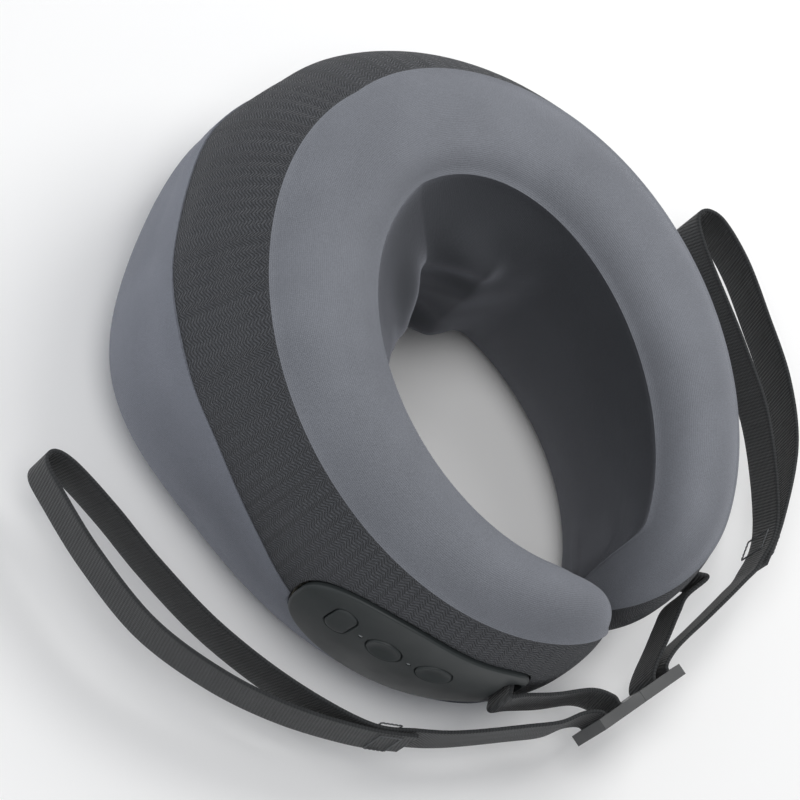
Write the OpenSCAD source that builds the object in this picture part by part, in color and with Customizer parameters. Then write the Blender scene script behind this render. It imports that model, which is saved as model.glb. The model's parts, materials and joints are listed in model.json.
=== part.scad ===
// U-shaped neck massager pillow lying on its back cover.
// X runs across the pillow, +Y points to the nape, -Y to the arm tips, Z is up through the ring.
// The origin is on the resting plane, under the middle of the whole object's box.

/* [Ring] */
// Half width of the limb's centreline
ring_a = 82.8; // [78:0.1:88]
// Half length of the limb's centreline
ring_b = 109.2; // [104:0.1:116]
// Angle between each arm tip and the plane of symmetry
tip_gap = 3.5; // [3:0.5:8]
// Width of the limb at the nape
limb_nape = 60; // [56:1:66]
// Width of the limb half way along an arm
limb_mid = 69; // [62:1:74]
// Width of the limb at an arm tip
limb_tip = 34; // [32:1:42]
// Height of the front face above the middle of the ring
ring_h = 154.5; // [150:0.5:160]
// Rise of the front face towards the nape
ring_slope = 0.16; // [0.1:0.01:0.2]

/* [Nape] */
// How far the nape bulges out behind the ring
nape_out = 35; // [28:1:38]
// How far the shoulders of the nape bulge out near the base
shoulder_out = 23.5; // [16:0.5:26]
// How far the heads push the inner liner into the neck opening
lobe_in = 18; // [17:0.5:20]

/* [Covers] */
// Thickness of a knit cover with its backing
cover_t = 3; // [2.5:0.5:4]
// Thickness of the foam round the nape
foam_t = 6.3; // [5:0.1:8]

/* [Kneading drive] */
// Height of the kneading axles above the base
knead_z = 80; // [78:1:84]
// Angle of each axle from the plane of symmetry
axle_tilt = 33; // [33:1:34]
// Distance of a head's centre from its axle
head_orbit = 15; // [14:0.5:15]
// Radius of a massage head
head_r = 11.5; // [10:0.5:11.5]
// Teeth on a worm wheel
wheel_teeth = 24; // [20:1:28]

/* [Control panel] */
// Travel of a button
button_travel = 1; // [0.8:0.1:1.2]
// Length of the long button, across the panel
button_l = 22; // [18:1:24]
// Width of the long button, along the panel
button_w = 11; // [9:1:12]
// Diameter of the two round buttons
button_d = 16.5; // [14:0.5:18]

/* [Straps] */
// Width of the webbing
web_w = 28; // [25:1:30]
// Thickness of the webbing
web_t = 1.8; // [1.5:0.1:2.2]

/* [Hidden] */
$fn = 48;
ring_y = -10.9;     // the middle of the ring along Y
air = 0.7;          // gap between a cover and what it covers
arm_arc = 310;      // length of one half of the centreline
cap_start = 0.825;  // where an arm starts to round off into its tip
tip_end = 0.996;    // where the tip ends
section_n = 2.2;    // roundness of the limb's section
sink = 7;           // how much of the section is flattened into the base

// ---- the limb's surface -------------------------------------------------------------------
function pw(c, p) = sign(c) * pow(abs(c), p);
function clamp01(x) = min(1, max(0, x));
function smooth(x) = let (c = clamp01(x)) c * c * (3 - 2 * c);

// u runs from -1, the right tip, over 0, the nape, to 1, the left tip.
function ang(u) = 90 + u * (180 - tip_gap);
function mid(u) = let (t = ang(u)) [ring_a * cos(t) * (1 + 0.04 * sin(t)), ring_b * sin(t) + ring_y];
function outward(u) = let (d = mid(u + 0.002) - mid(u - 0.002), l = norm(d)) [d.y / l, -d.x / l];
function limb_w(a) =
    limb_nape * (1 - a) * (1 - 2 * a) + limb_mid * 4 * a * (1 - a) + limb_tip * a * (2 * a - 1);
function top_z(u) = ring_h + ring_slope * (mid(u).y - ring_y);
function cap(a, d) =
    let (q = clamp01((a - cap_start) / (tip_end - d / arm_arc - cap_start))) pow(1 - pow(q, 2.4), 1 / 2.4);
// How far the inner wall stands into the neck opening over the heads.
function lobe(a, v) = lobe_in * (1 - smooth((a - 0.28) / 0.14)) * (1 - smooth((abs(v - 180) - 24) / 34));
// How far the outer wall bulges at a level between the base (0) and the top (1).
function bulge(a, level) = nape_out / (1 + pow(a / 0.24, 2))
    + shoulder_out * exp(-pow((a - 0.28) / 0.12, 2)) * clamp01((0.75 - level) / 0.75);
// How much wider the outer wall gets below the middle of the section.
function flare(a, level) = (0.265 * (1 - a) - 0.32 * a) * pow(clamp01((0.46 - level) / 0.46), 1.5);

// A point of the limb: section angle v from the outside (0) over the top (90) to the inside (180),
// and d millimetres under the surface.
function skin(u, v, d) =
    let (a = abs(u), c = cap(a, d), half = top_z(u) / 2,
        r = pw(cos(v), 2 / section_n), s = pw(sin(v), 2 / section_n),
        level = (1 + s) / 2,
        w = limb_w(a) / 2 - d,
        reach = r > 0 ? r * (w + bulge(a, level)) * (1 + flare(a, level)) : r * (w + lobe(a, v)),
        x = mid(u) + outward(u) * (reach * c - 4 * s * c * (1 - a)))
    [x.x, x.y, max(d, half - sink / 2 + s * (half + sink / 2 - d) * c)];

// ---- where the covers meet ----------------------------------------------------------------
function seam_front(a) = 59 - 14 * a;
// The liner ends short of each arm's tip, in a rounded end.
function seam_liner(a) = 116 + 22 * pow(a, 1.3) + 100 * pow(clamp01((a - 0.88) / 0.08), 3);
function past(x) = (x + sqrt(x * x + 0.006)) / 2;
function seam_back(a) = -2 + 14 * sin(225 * min(a, 0.4)) - 110 * past(a - 0.4);
// Zones: 0 front, 1 liner, 2 back, 3 band.
liner_low = 250;     // section angle of the liner's lower edge
function zone_edge(k, a) =
    [seam_front(a), seam_liner(a), liner_low, 360 + seam_back(a), 360 + seam_front(a)][k];
function zone_v(k, f, a) = zone_edge(k, a) * (1 - f) + zone_edge(k + 1, a) * f;
ZONE_N = [6, 8, 7, 5];

// Stations along the limb, closer together round the tips.
STEPS = 22;
function station(i) = let (f = i / STEPS, a = abs(f))
    sign(f) * (a < 0.8 ? a * cap_start / 0.8 : cap_start + (tip_end - cap_start) * sin((a - 0.8) * 430));
ALL = [for (i = [-STEPS : STEPS]) station(i)];
NEAR = 0.006;        // stations closer than this to an end are left out
function between(lo, hi) = concat([lo], [for (u = ALL) if (u > lo + NEAR && u < hi - NEAR) u], [hi]);

// A closed plate of rows x cols points, outer layer then inner layer.
module plate(outer, inner, rows, cols) {
    n = rows * cols;
    function at(i, j) = i * cols + j;
    walls = [for (i = [0 : rows - 2], j = [0 : cols - 2])
        let (a = at(i, j), b = at(i, j + 1), c = at(i + 1, j + 1), d = at(i + 1, j))
        each [[a, c, d], [a, b, c], [n + a, n + d, n + c], [n + a, n + c, n + b]]];
    first = [for (i = [0 : rows - 2]) let (a = at(i, 0), b = at(i + 1, 0))
        each [[a, n + b, n + a], [a, b, n + b]]];
    last = [for (i = [0 : rows - 2]) let (a = at(i, cols - 1), b = at(i + 1, cols - 1))
        each [[a, n + a, n + b], [a, n + b, b]]];
    near = [for (j = [0 : cols - 2]) let (a = at(0, j), b = at(0, j + 1))
        each [[a, n + a, n + b], [a, n + b, b]]];
    far = [for (j = [0 : cols - 2]) let (a = at(rows - 1, j), b = at(rows - 1, j + 1))
        each [[a, n + b, n + a], [a, b, n + b]]];
    polyhedron(concat(outer, inner), concat(walls, first, last, near, far));
}

// A layer of one zone between depths d0 and d1, from station lo to hi.
module layer(zone, lo, hi, d0, d1) {
    us = between(lo, hi);
    n = ZONE_N[zone];
    function face(d) = [for (u = us, j = [0 : n])
        skin(u * (1 - d / arm_arc), zone_v(zone, j / n, abs(u)), d)];
    plate(face(d0), face(d1), len(us), n + 1);
}

// A layer at free section angles.
module band_layer(lo, hi, v0, v1, n, d0, d1) {
    us = between(lo, hi);
    function face(d) = [for (u = us, j = [0 : n]) skin(u, v0 + (v1 - v0) * j / n, d)];
    plate(face(d0), face(d1), len(us), n + 1);
}

// A solid length of the limb under depth d.
module core(lo, hi, d) {
    us = between(lo, hi);
    function ring(u) = [for (k = [0 : 3], j = [0 : ZONE_N[k] - 1])
        skin(u * (1 - d / arm_arc), zone_v(k, j / ZONE_N[k], abs(u)), d)];
    cols = len(ring(0));
    rows = len(us);
    function at(i, j) = i * cols + j % cols;
    walls = [for (i = [0 : rows - 2], j = [0 : cols - 1])
        let (a = at(i, j), b = at(i, j + 1), c = at(i + 1, j + 1), d = at(i + 1, j))
        each [[a, c, d], [a, b, c]]];
    ends = [[for (j = [cols - 1 : -1 : 0]) at(0, j)], [for (j = [0 : cols - 1]) at(rows - 1, j)]];
    polyhedron([for (u = us) each ring(u)], concat(walls, ends));
}

// Cuts made on the faceted layers in one quick pass.
module cut() { resize([0, 0, 0]) difference() { children(0); children(1); } }

// ---- the control panel's place on the left arm ------------------------------------------------
panel_u = 0.71;      // station of the panel's centre
panel_v = 0;         // section angle of the panel's centre
panel_hu = 0.145;    // half length in stations
panel_hv = 26;       // half width in section angle
PANEL_N = 36;
PANEL_RINGS = 4;
// The outline narrows towards the tip and leans up to the strap slot.
function panel_uv(q, k, grow) =
    let (t = 360 * k / PANEL_N, c = pw(cos(t), 0.85), s = pw(sin(t), 0.85),
        thin = 1 - 0.28 * smooth((c + 0.2) / 1.2),
        wide = s * thin * (panel_hv + grow * 0.7),
        lean = 9 * smooth(c) * c)
    [panel_u + q * (panel_hu + grow / arm_arc) * c, panel_v + q * (wide + lean)];
// A plate in the panel's outline, grown sideways, from depth d0 to depth d1.
module panel_plate(grow, d0, d1) {
    n = PANEL_N;
    m = 1 + PANEL_RINGS * n;
    function place(r, k, d) = let (p = panel_uv(r / PANEL_RINGS, k, grow)) skin(p.x, p.y, d);
    function face(d) = [place(0, 0, d), for (r = [1 : PANEL_RINGS], k = [0 : n - 1]) place(r, k, d)];
    function at(r, k) = r == 0 ? 0 : 1 + (r - 1) * n + (k + n) % n;
    middle = [for (k = [0 : n - 1]) each [[0, at(1, k + 1), at(1, k)], [m, m + at(1, k), m + at(1, k + 1)]]];
    rings = [for (r = [1 : PANEL_RINGS - 1], k = [0 : n - 1])
        let (a = at(r, k), b = at(r, k + 1), c = at(r + 1, k + 1), d = at(r + 1, k))
        each [[a, b, c], [a, c, d], [m + a, m + c, m + b], [m + a, m + d, m + c]]];
    rim = [for (k = [0 : n - 1]) let (a = at(PANEL_RINGS, k), b = at(PANEL_RINGS, k + 1))
        each [[a, b, m + b], [a, m + b, m + a]]];
    polyhedron(concat(face(d0), face(d1)), concat(middle, rings, rim));
}

// A frame on the skin: Z out of the surface, X along the limb.
module on_skin(u, v) {
    p = skin(u, v, 0);
    tu = skin(u + 0.004, v, 0) - skin(u - 0.004, v, 0);
    tv = skin(u, v + 0.5, 0) - skin(u, v - 0.5, 0);
    x = tu / norm(tu);
    n = cross(x, tv) / norm(cross(x, tv));
    z = n * sign(n * concat(outward(u), [0]));
    y = cross(z, x);
    multmatrix([[x.x, y.x, z.x, p.x], [x.y, y.y, z.y, p.y], [x.z, y.z, z.z, p.z], [0, 0, 0, 1]]) children();
}

// ---- covers and padding -----------------------------------------------------------------------
tip_u = tip_end - 0.001;   // where the covers and foam end
function slot_u(side) = side > 0 ? 0.835 : 0.87;   // station of a strap slot
slot_v = 1;          // section angle of the strap slots
port_u = -0.6;       // station of the charge port
module stadium(l, w, h) {
    linear_extrude(h) union() {
        square([w, l - w], center = true);
        for (s = [-1, 1]) translate([0, s * (l - w) / 2]) circle(d = w);
    }
}
module strap_slot(side, grow, deep, out) {
    on_skin(side * slot_u(side), slot_v) translate([-3 - grow, -web_w / 2 - 1 - grow, -deep])
        cube([6 + 2 * grow, web_w + 2 + 2 * grow, deep + out]);
}
module port_cutter(grow, deep) {
    on_skin(port_u, 0) translate([0, 0, -deep]) rotate(90) stadium(11 + 2 * grow, 5 + 2 * grow, deep + 6);
}

module front_cover() { color("#7c7e88") layer(0, -tip_u, tip_u, 0, cover_t); }
module side_band() {
    color("#3e4043") cut() {
        layer(3, -tip_u, tip_u, 0, cover_t);
        union() {
            panel_plate(0.6, -8, 8);
            for (side = [-1, 1]) strap_slot(side, 0.5, 6, 8);
            port_cutter(0.5, 8);
        }
    }
}
module back_cover() {
    color("#83858f") cut() {
        layer(2, -tip_u, tip_u, 0, cover_t);
        panel_plate(0.6, -8, 8);
    }
}
module inner_liner() { color("#3a3c42") layer(1, -tip_u, tip_u, 0, cover_t); }
arm_start = 0.44;
module foam_arm_left() {
    color("#d8d4c8") cut() {
        core(arm_start, tip_u, cover_t + air);
        union() {
            panel_plate(1, -8, 17);
            strap_slot(1, 5, 17.5, 8);
        }
    }
}
module foam_arm_right() {
    color("#d8d4c8") cut() {
        core(-tip_u, -arm_start, cover_t + air);
        union() {
            strap_slot(-1, 5, 17.5, 8);
            port_cutter(1.5, 17);
        }
    }
}
// The nape's foam follows the covers' own columns, from low on the back round to the top.
NAPE_COLS = concat([for (j = [3 : ZONE_N[2]]) [2, j]], [for (j = [1 : ZONE_N[3]]) [3, j]],
    [for (j = [1 : ZONE_N[0] - 1]) [0, j]]);
module nape_foam() {
    us = between(-0.3, 0.3);
    function face(d) = [for (u = us, c = NAPE_COLS)
        skin(u * (1 - d / arm_arc), zone_v(c.x, c.y / ZONE_N[c.x], abs(u)), d)];
    top = cover_t + 2 * air;
    color("#d8d4c8") plate(face(top), face(top + foam_t), len(us), len(NAPE_COLS));
}
module housing_rear() {
    shell = cover_t + foam_t + 3.1;
    color("#2f3236") band_layer(-0.26, 0.26, -55, 62, 9, shell, shell + 2.4);
}

// ---- kneading drive -----------------------------------------------------------------------------
axles_y = 37.5 + ring_y;      // where the two axles' lines cross
worm_y = 111.5 + ring_y;      // the worm's axis
worm_d = (worm_y - axles_y) * sin(axle_tilt);   // distance of the worm's axis from an axle
wheel_l = (worm_y - axles_y) * cos(axle_tilt);  // a worm wheel's distance along its axle
worm_r = 7;
wheel_r = worm_d - worm_r - 0.3;
axle_r = 4;
head_l = 40;         // a head's centre, along the axle
head_back = 45.4;    // a head's flat back, along the axle
arm_l = 46;          // a kneading arm's front face
arm_t = 4.5;
run = 0.06;          // running clearance
case_f = 52.5;       // the gearbox's front face, along an axle
case_m = wheel_l;    // where its two halves meet
case_b = wheel_l + 9.5;
case_r = wheel_r + 4;

// A frame on an axle: Z runs out of the neck opening, from where the axles' lines cross.
module on_axle(side) {
    translate([0, axles_y, knead_z]) rotate([0, 0, -side * axle_tilt]) rotate([-90, 0, 0]) children();
}
module bar(r, from, to) { translate([0, 0, from]) cylinder(r = r, h = to - from); }

module wheel_profile(r, depth) {
    step = 360 / wheel_teeth;
    polygon([for (i = [0 : wheel_teeth - 1], k = [0 : 3])
        let (a = step * (i + [0, 0.3, 0.5, 0.8][k]), q = k == 1 || k == 2 ? r : r - depth)
        q * [cos(a), sin(a)]]);
}
module worm_wheel(side) {
    color("#e6e1d2") on_axle(side) difference() {
        union() {
            translate([0, 0, wheel_l - 4]) linear_extrude(8) wheel_profile(wheel_r, 2.6);
            bar(8, wheel_l - 5.5, wheel_l + 5.5);
        }
        bar(axle_r, wheel_l - 8, wheel_l + 8);
        for (i = [0 : 5]) rotate(60 * i) translate([18, 0, wheel_l - 8]) cylinder(r = 5, h = 16);
    }
}
module worm_wheel_left() { worm_wheel(-1); }
module worm_wheel_right() { worm_wheel(1); }
module axle(side) {
    color("#b9bcc0") on_axle(side) union() {
        bar(axle_r, arm_l + 0.5, case_b + 1.5);
        bar(2.5, arm_l - 3.5, arm_l + 0.5);
    }
}
module axle_left() { axle(-1); }
module axle_right() { axle(1); }
module bearing(from) { difference() { bar(8, from, from + 3.4); bar(axle_r + run, from - 1, from + 5); } }
module axle_bearings() {
    color("#c79a4b") for (s = [-1, 1], from = [case_f, case_b - 3.4]) on_axle(s) bearing(from);
}

// Heads lie at a quarter turn from each other on the two arms, so that they pass without touching.
function head_angle(side, k) = (side < 0 ? 0 : 90) + 180 * k;
module kneading_arm(side) {
    color("#4a4d52") on_axle(side) difference() {
        union() {
            bar(9, arm_l, arm_l + arm_t + 0.5);
            for (k = [0, 1]) rotate(head_angle(side, k)) {
                translate([0, -6, arm_l]) cube([head_orbit, 12, arm_t]);
                translate([head_orbit, 0, 0]) { bar(6, arm_l, arm_l + arm_t); bar(3, head_l - 4, arm_l); }
            }
        }
        bar(axle_r, arm_l + 0.5, arm_l + 10);
        bar(2.5, arm_l - 1, arm_l + 1);
    }
}
module kneading_arm_left() { kneading_arm(-1); }
module kneading_arm_right() { kneading_arm(1); }
module massage_head(side, k) {
    rim = sqrt(head_r * head_r - pow(head_back - head_l, 2));
    color("#8a8f99") on_axle(side) rotate(head_angle(side, k)) translate([head_orbit, 0, 0])
        rotate_extrude($fn = 64) polygon(concat([[0, head_l - head_r]],
            [for (a = [-75 : 15 : 15]) [head_r * cos(a), head_l + head_r * sin(a)]],
            [[rim, head_back], [3 + run, head_back], [3 + run, head_l - 4.3], [0, head_l - 4.3]]));
}
module massage_head_1() { massage_head(-1, 0); }
module massage_head_2() { massage_head(-1, 1); }
module massage_head_3() { massage_head(1, 0); }
module massage_head_4() { massage_head(1, 1); }

// The gearbox is a pair of round cans joined over the worm's chamber.
module can(side, from, to, solid) {
    on_axle(side) difference() {
        bar(case_r, from, to);
        if (!solid) bar(wheel_r + 1.2, max(from, case_f + 3.4), min(to, case_b - 3.4));
        bar(8, from - 1, to + 1);
    }
}
module worm_chamber() { translate([0, worm_y, knead_z - 34]) cylinder(r = worm_r + 2.2, h = 68); }
module wheel_room() { for (s = [-1, 1]) on_axle(s) bar(wheel_r + 1.2, case_f + 3.4, case_b - 3.4); }
module screw_spots(r, from, to) {
    for (s = [-1, 1], a = [-60, 60])
        on_axle(s) rotate(a + (s > 0 ? 0 : 180)) translate([case_r + 3, 0, 0]) bar(r, from, to);
}
module gearbox_base() {
    color("#3b4046") difference() {
        union() {
            for (s = [-1, 1]) can(s, case_m, case_b, true);
            screw_spots(4, case_m, case_b - 3);
        }
        wheel_room();
        worm_chamber();
        screw_spots(1.5, case_m - 1, case_b);
        for (s = [-1, 1]) on_axle(s) bar(8, case_f - 2, case_b + 2);
    }
}
module gearbox_cover() {
    color("#565c64") difference() {
        union() {
            for (s = [-1, 1]) can(s, case_f, case_m, true);
            screw_spots(3.8, case_f + 3, case_m);
        }
        wheel_room();
        worm_chamber();
        screw_spots(1.5, case_f, case_m + 1);
        translate([-0.6, 0, 0]) cube([1.2, 200, 200]);
        for (s = [-1, 1]) on_axle(s) bar(8, case_f - 2, case_b + 2);
    }
}
module gearbox_screws() {
    color("#9a9da1") {
        screw_spots(1.5, case_f + 4, case_b - 4);
        screw_spots(2.8, case_f + 1.2, case_f + 3);
    }
}
motor_top = 46;
module motor_can() {
    color("#aab0b6") translate([0, worm_y, motor_top - 34]) difference() {
        union() { cylinder(r = 14, h = 34); translate([0, 0, 34]) cylinder(r = 5, h = 1.5); }
        translate([0, 0, 8]) cylinder(r = 2 + run, h = 40);
        translate([0, 0, 4]) cylinder(r = 9, h = 26);
    }
}
module motor_bracket() {
    color("#7d8288") translate([0, worm_y, 0]) difference() {
        union() {
            translate([-15.2, -13, motor_top + 1.6]) cube([30.4, 29.4, 2]);
            for (s = [-1, 1]) translate([s * 14.7 - 0.5, -13, motor_top - 20]) cube([1, 26, 22]);
            translate([-9, 14, motor_top + 1.6]) cube([18, 2.4, 72]);
            translate([-9, -7, motor_top + 71]) cube([18, 23.4, 3]);
        }
        translate([0, 0, motor_top]) cylinder(r = 5.2, h = 20);
        translate([0, 0, motor_top + 60]) cylinder(r = 3 + run, h = 40);
    }
}
module motor_shaft() {
    color("#c9ccd0") translate([0, worm_y, 0]) rotate_extrude() polygon(concat(
        [[0, motor_top - 24], [2, motor_top - 24], [2, motor_top + 6], [worm_r - 2, motor_top + 6]],
        [for (i = [0 : 9], p = [[worm_r - 2, 0.2], [worm_r, 1.8], [worm_r, 2.6], [worm_r - 2, 4.2]])
            [p.x, motor_top + 12 + 4.4 * i + p.y]],
        [[worm_r - 2, motor_top + 60], [3, motor_top + 60], [3, motor_top + 74], [0, motor_top + 74]]));
}
// One tilted front plate on each side, behind the kneading arms.
module housing_front() {
    color("#2f3236") difference() {
        for (s = [-1, 1]) on_axle(s) bar(case_r - 3, case_f - 1.4, case_f - 0.1);
        for (s = [-1, 1]) on_axle(s) bar(8.4, case_f - 3, case_f + 2);
        translate([-1, 0, 0]) cube([2, 200, 200]);
        screw_spots(3.2, case_f - 3, case_f + 3);
    }
}
cell_r = 9.2;
cells_y = 142.6 + ring_y;
board_y = 130.5 + ring_y;
module battery_cells() {
    color("#3f6fa8") for (s = [-1, 1]) translate([s * 11, cells_y, 42]) cylinder(r = cell_r, h = 66);
}
module battery_tray() {
    color("#24272a") difference() {
        translate([-23, cells_y - 7, 37]) cube([46, 16, 76]);
        for (s = [-1, 1]) translate([s * 11, cells_y, 41.5]) cylinder(r = cell_r + 0.4, h = 67);
        translate([-24, cells_y - 8, 50]) cube([48, 8, 50]);
    }
}
module main_board() {
    color("#1e6b45") union() {
        translate([-28, board_y, 60]) cube([56, 1.6, 52]);
        translate([-20, board_y - 2.3, 96]) cube([9, 2.3, 9]);
        translate([6, board_y - 1.8, 98]) cube([12, 1.8, 8]);
    }
}

// ---- control panel ------------------------------------------------------------------------------
button_u = [0.62, 0.677, 0.741];
button_v = 5;
light_u = [0.647, 0.709];
module button_shape(i, grow, h) {
    if (i == 0) stadium(button_l + 2 * grow, button_w + 2 * grow, h);
    else cylinder(d = button_d + 2 * grow, h = h);
}
module on_button(i) { on_skin(button_u[i], button_v) children(); }
module button_hole(i, grow) { on_button(i) translate([0, 0, -8]) button_shape(i, grow, 16); }
module control_panel() {
    color("#303435") cut() {
        panel_plate(0, -0.8, 1.8);
        union() {
            for (i = [0 : 2]) button_hole(i, 0.4);
            for (u = light_u) on_skin(u, button_v) translate([0, 0, -8]) cylinder(r = 1.2, h = 16);
            strap_slot(1, 0, 6, 8);
        }
    }
}
module panel_tray() {
    color("#26292b") cut() {
        panel_plate(-0.4, 12, 14.5);
        strap_slot(1, 4.5, 20, 8);
    }
}
module button_board() {
    color("#1e6b45") cut() {
        panel_plate(-6, 8.5, 10);
        strap_slot(1, 1, 20, 8);
    }
}
button_top = 1.3;    // a button's height above the skin
flange_z = -3.4;     // top of the flange that keeps a button in the panel
dish_r = 30;         // radius of the dish in a round button
dish_d = 1;          // depth of the dish
module panel_button(i) {
    color("#2a2e2f") on_button(i) difference() {
        union() {
            translate([0, 0, flange_z]) button_shape(i, 0, button_top - flange_z);
            translate([0, 0, flange_z - 1.2]) button_shape(i, 1.2, 1.2);
        }
        if (i > 0) translate([0, 0, button_top - dish_d + dish_r]) sphere(r = dish_r, $fn = 96);
    }
}
module power_button() { panel_button(0); }
module mode_button() { panel_button(1); }
module heat_button() { panel_button(2); }
// Each dome stands just under the button at the end of its travel.
module dome_switches() {
    dome_h = 2.5;
    top = flange_z - 1.2 - button_travel - 0.1;
    color("#c9ccd0") for (u = button_u) on_skin(u, button_v) translate([0, 0, top - dome_h]) {
        cylinder(r = 3, h = dome_h - 0.9);
        cylinder(r = 1.6, h = dome_h);
    }
}
module indicator_lights() {
    color("#dfe6ea") for (u = light_u) on_skin(u, button_v) translate([0, 0, -7.6]) cylinder(r = 1, h = 8.2);
}
module charge_port() {
    color("#1d1f21") on_skin(port_u, 0) rotate(90) difference() {
        translate([0, 0, -12]) stadium(11, 5, 12.6);
        translate([0, 0, -8]) stadium(8.6, 3, 12);
    }
}

// ---- straps ---------------------------------------------------------------------------------------
function spline(p, i, t) =
    let (n = len(p) - 1, a = p[max(0, i - 1)], b = p[i], c = p[min(n, i + 1)], d = p[min(n, i + 2)])
    0.5 * (2 * b + (c - a) * t + (2 * a - 5 * b + 4 * c - d) * t * t + (3 * b - a - 3 * c + d) * t * t * t);
function smooth_path(p, n) =
    concat([for (i = [0 : len(p) - 2], k = [0 : n - 1]) spline(p, i, k / n)], [p[len(p) - 1]]);
// A flat strap on edge: its width stands along Z and its thickness lies across the path.
module webbing(p, n, w) {
    q = smooth_path(p, n);
    m = len(q);
    h = [0, 0, w / 2];
    function side(i) = let (d = q[min(m - 1, i + 1)] - q[max(0, i - 1)], l = norm([d.x, d.y]))
        [-d.y / l, d.x / l, 0] * web_t / 2;
    points = [for (i = [0 : m - 1]) let (s = side(i))
        each [q[i] - s - h, q[i] + s - h, q[i] + s + h, q[i] - s + h]];
    ends = [[0, 1, 2, 3], [4 * m - 1, 4 * m - 2, 4 * m - 3, 4 * m - 4]];
    walls = [for (i = [0 : m - 2], k = [0 : 3]) let (a = 4 * i + k, b = 4 * i + (k + 1) % 4)
        each [[a, a + 4, b + 4], [a, b + 4, b]]];
    polyhedron(points, concat(ends, walls));
}
clasp_y = -151 + ring_y;
clasp_z = 47;
// Routes start at the arm and end at the clasp; loops start at the clasp, turn, and end at the stitching.
function slot_point(side, out) =
    let (u = side * slot_u(side), n = outward(u)) skin(u, slot_v, 0) + out * [n.x, n.y, 0];
LEFT_STRAP = [[-56.2, -120.3, 65], [-40.1, -127.8, 59], [-20.4, -135.4, 52], [-11.5, -143, 48],
    [-10.5, -147, 47], [-10.5, -151, 47]];
RIGHT_STRAP = [[41.4, -124.6, 63], [35.8, -128.7, 58], [27.5, -135.3, 52], [17.4, -141.9, 48],
    [12, -146.5, 47], [10.5, -151, 47]];
function placed(route) = [for (p = route) p + [0, ring_y, 0]];
function strap_route(side) =
    concat([for (d = [-15, -7, 0, 5]) slot_point(side, d)], placed(side > 0 ? LEFT_STRAP : RIGHT_STRAP));
LEFT_LOOP = [[-19.5, -151, 47], [-20.5, -146, 47], [-28, -142, 47], [-40, -139.5, 47],
    [-54, -133, 47], [-84, -118, 47], [-102, -106, 47], [-120, -91, 47], [-139, -57, 47],
    [-153, -18, 47], [-160, 20, 47], [-163, 51, 47], [-167, 76, 47], [-172, 86, 47],
    [-178, 84, 47], [-180, 70, 47], [-181.5, 38, 47], [-178, -1, 47], [-164, -37, 47],
    [-145, -67, 47], [-121.7, -93, 47], [-103.7, -108, 47]];
RIGHT_LOOP = [[19.5, -151, 47], [20.5, -146, 47], [28, -142.5, 47], [38, -140.5, 47],
    [54, -138.5, 47], [80, -134.5, 47], [93, -131.5, 47], [114, -119, 47], [140, -79, 47],
    [152, -44, 47], [162, -5, 47], [167, 11, 47], [172, 19, 47], [178, 18, 47], [181.5, 9, 47],
    [179.5, -12, 47], [172, -38, 47], [161.5, -69, 47], [144, -97, 47], [115.4, -121.2, 47],
    [94.4, -133.7, 47]];
module strap_left() { color("#2a2d2e") webbing(strap_route(1), 4, web_w); }
module strap_right() { color("#2a2d2e") webbing(strap_route(-1), 4, web_w); }
module hand_loop_left() { color("#45494b") webbing(placed(LEFT_LOOP), 2, web_w); }
module hand_loop_right() { color("#45494b") webbing(placed(RIGHT_LOOP), 2, web_w); }
// A plate inside each arm that holds the strap's root end.
module strap_anchor(side) {
    color("#1d1f21") on_skin(side * slot_u(side), slot_v) difference() {
        translate([-6, -web_w / 2 - 4, -16.4]) cube([12, web_w + 8, 1.6]);
        translate([-3.8, -web_w / 2 - 2.5, -18]) cube([7.6, web_w + 5, 8]);
    }
}
module strap_anchor_left() { strap_anchor(1); }
module strap_anchor_right() { strap_anchor(-1); }
// Stitching that joins a loop's free end to the strap beside it.
module loop_stitch(p, turn) {
    translate(p + [0, ring_y, 0]) rotate(turn) for (x = [-5, 5], z = [-11 : 2 : 11])
        translate([x, 0, z]) rotate([90, 0, 0]) cylinder(r = 0.5, h = 5.2, center = true, $fn = 16);
}
module loop_stitch_left() { color("#5a5e61") loop_stitch([-112, -99.6, clasp_z], 140); }
module loop_stitch_right() { color("#5a5e61") loop_stitch([104.4, -126.4, clasp_z], 31); }

// The clasp is two frames side by side along X; the right one's tongue plugs into the left one.
clasp_w = 25;        // length of one half
clasp_h = web_w + 4;
clasp_t = 5.5;
clasp_gap = 0.15;    // between the two halves
tongue_l = 6.5;
tongue_w = 18;
tongue_t = 2.7;
module clasp_frame(side) {
    difference() {
        translate([side > 0 ? clasp_gap : -clasp_w, -clasp_t / 2, -clasp_h / 2])
            cube([clasp_w - (side > 0 ? clasp_gap : 0), clasp_t, clasp_h]);
        for (x = [10.5, 19.5])
            translate([side * x - 2.5, -clasp_t, -web_w / 2 - 0.6]) cube([5, 2 * clasp_t, web_w + 1.2]);
    }
}
module tongue(grow) {
    translate([-tongue_l - grow, -tongue_t / 2 - grow, -tongue_w / 2 - grow])
        cube([tongue_l + 2 * grow + clasp_gap, tongue_t + 2 * grow, tongue_w + 2 * grow]);
}
module clasp_left() {
    color("#3c4042") translate([0, clasp_y, clasp_z]) difference() {
        clasp_frame(-1);
        tongue(0.3);
    }
}
module clasp_right() {
    color("#4a4e50") translate([0, clasp_y, clasp_z]) union() {
        clasp_frame(1);
        tongue(0);
    }
}

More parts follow.
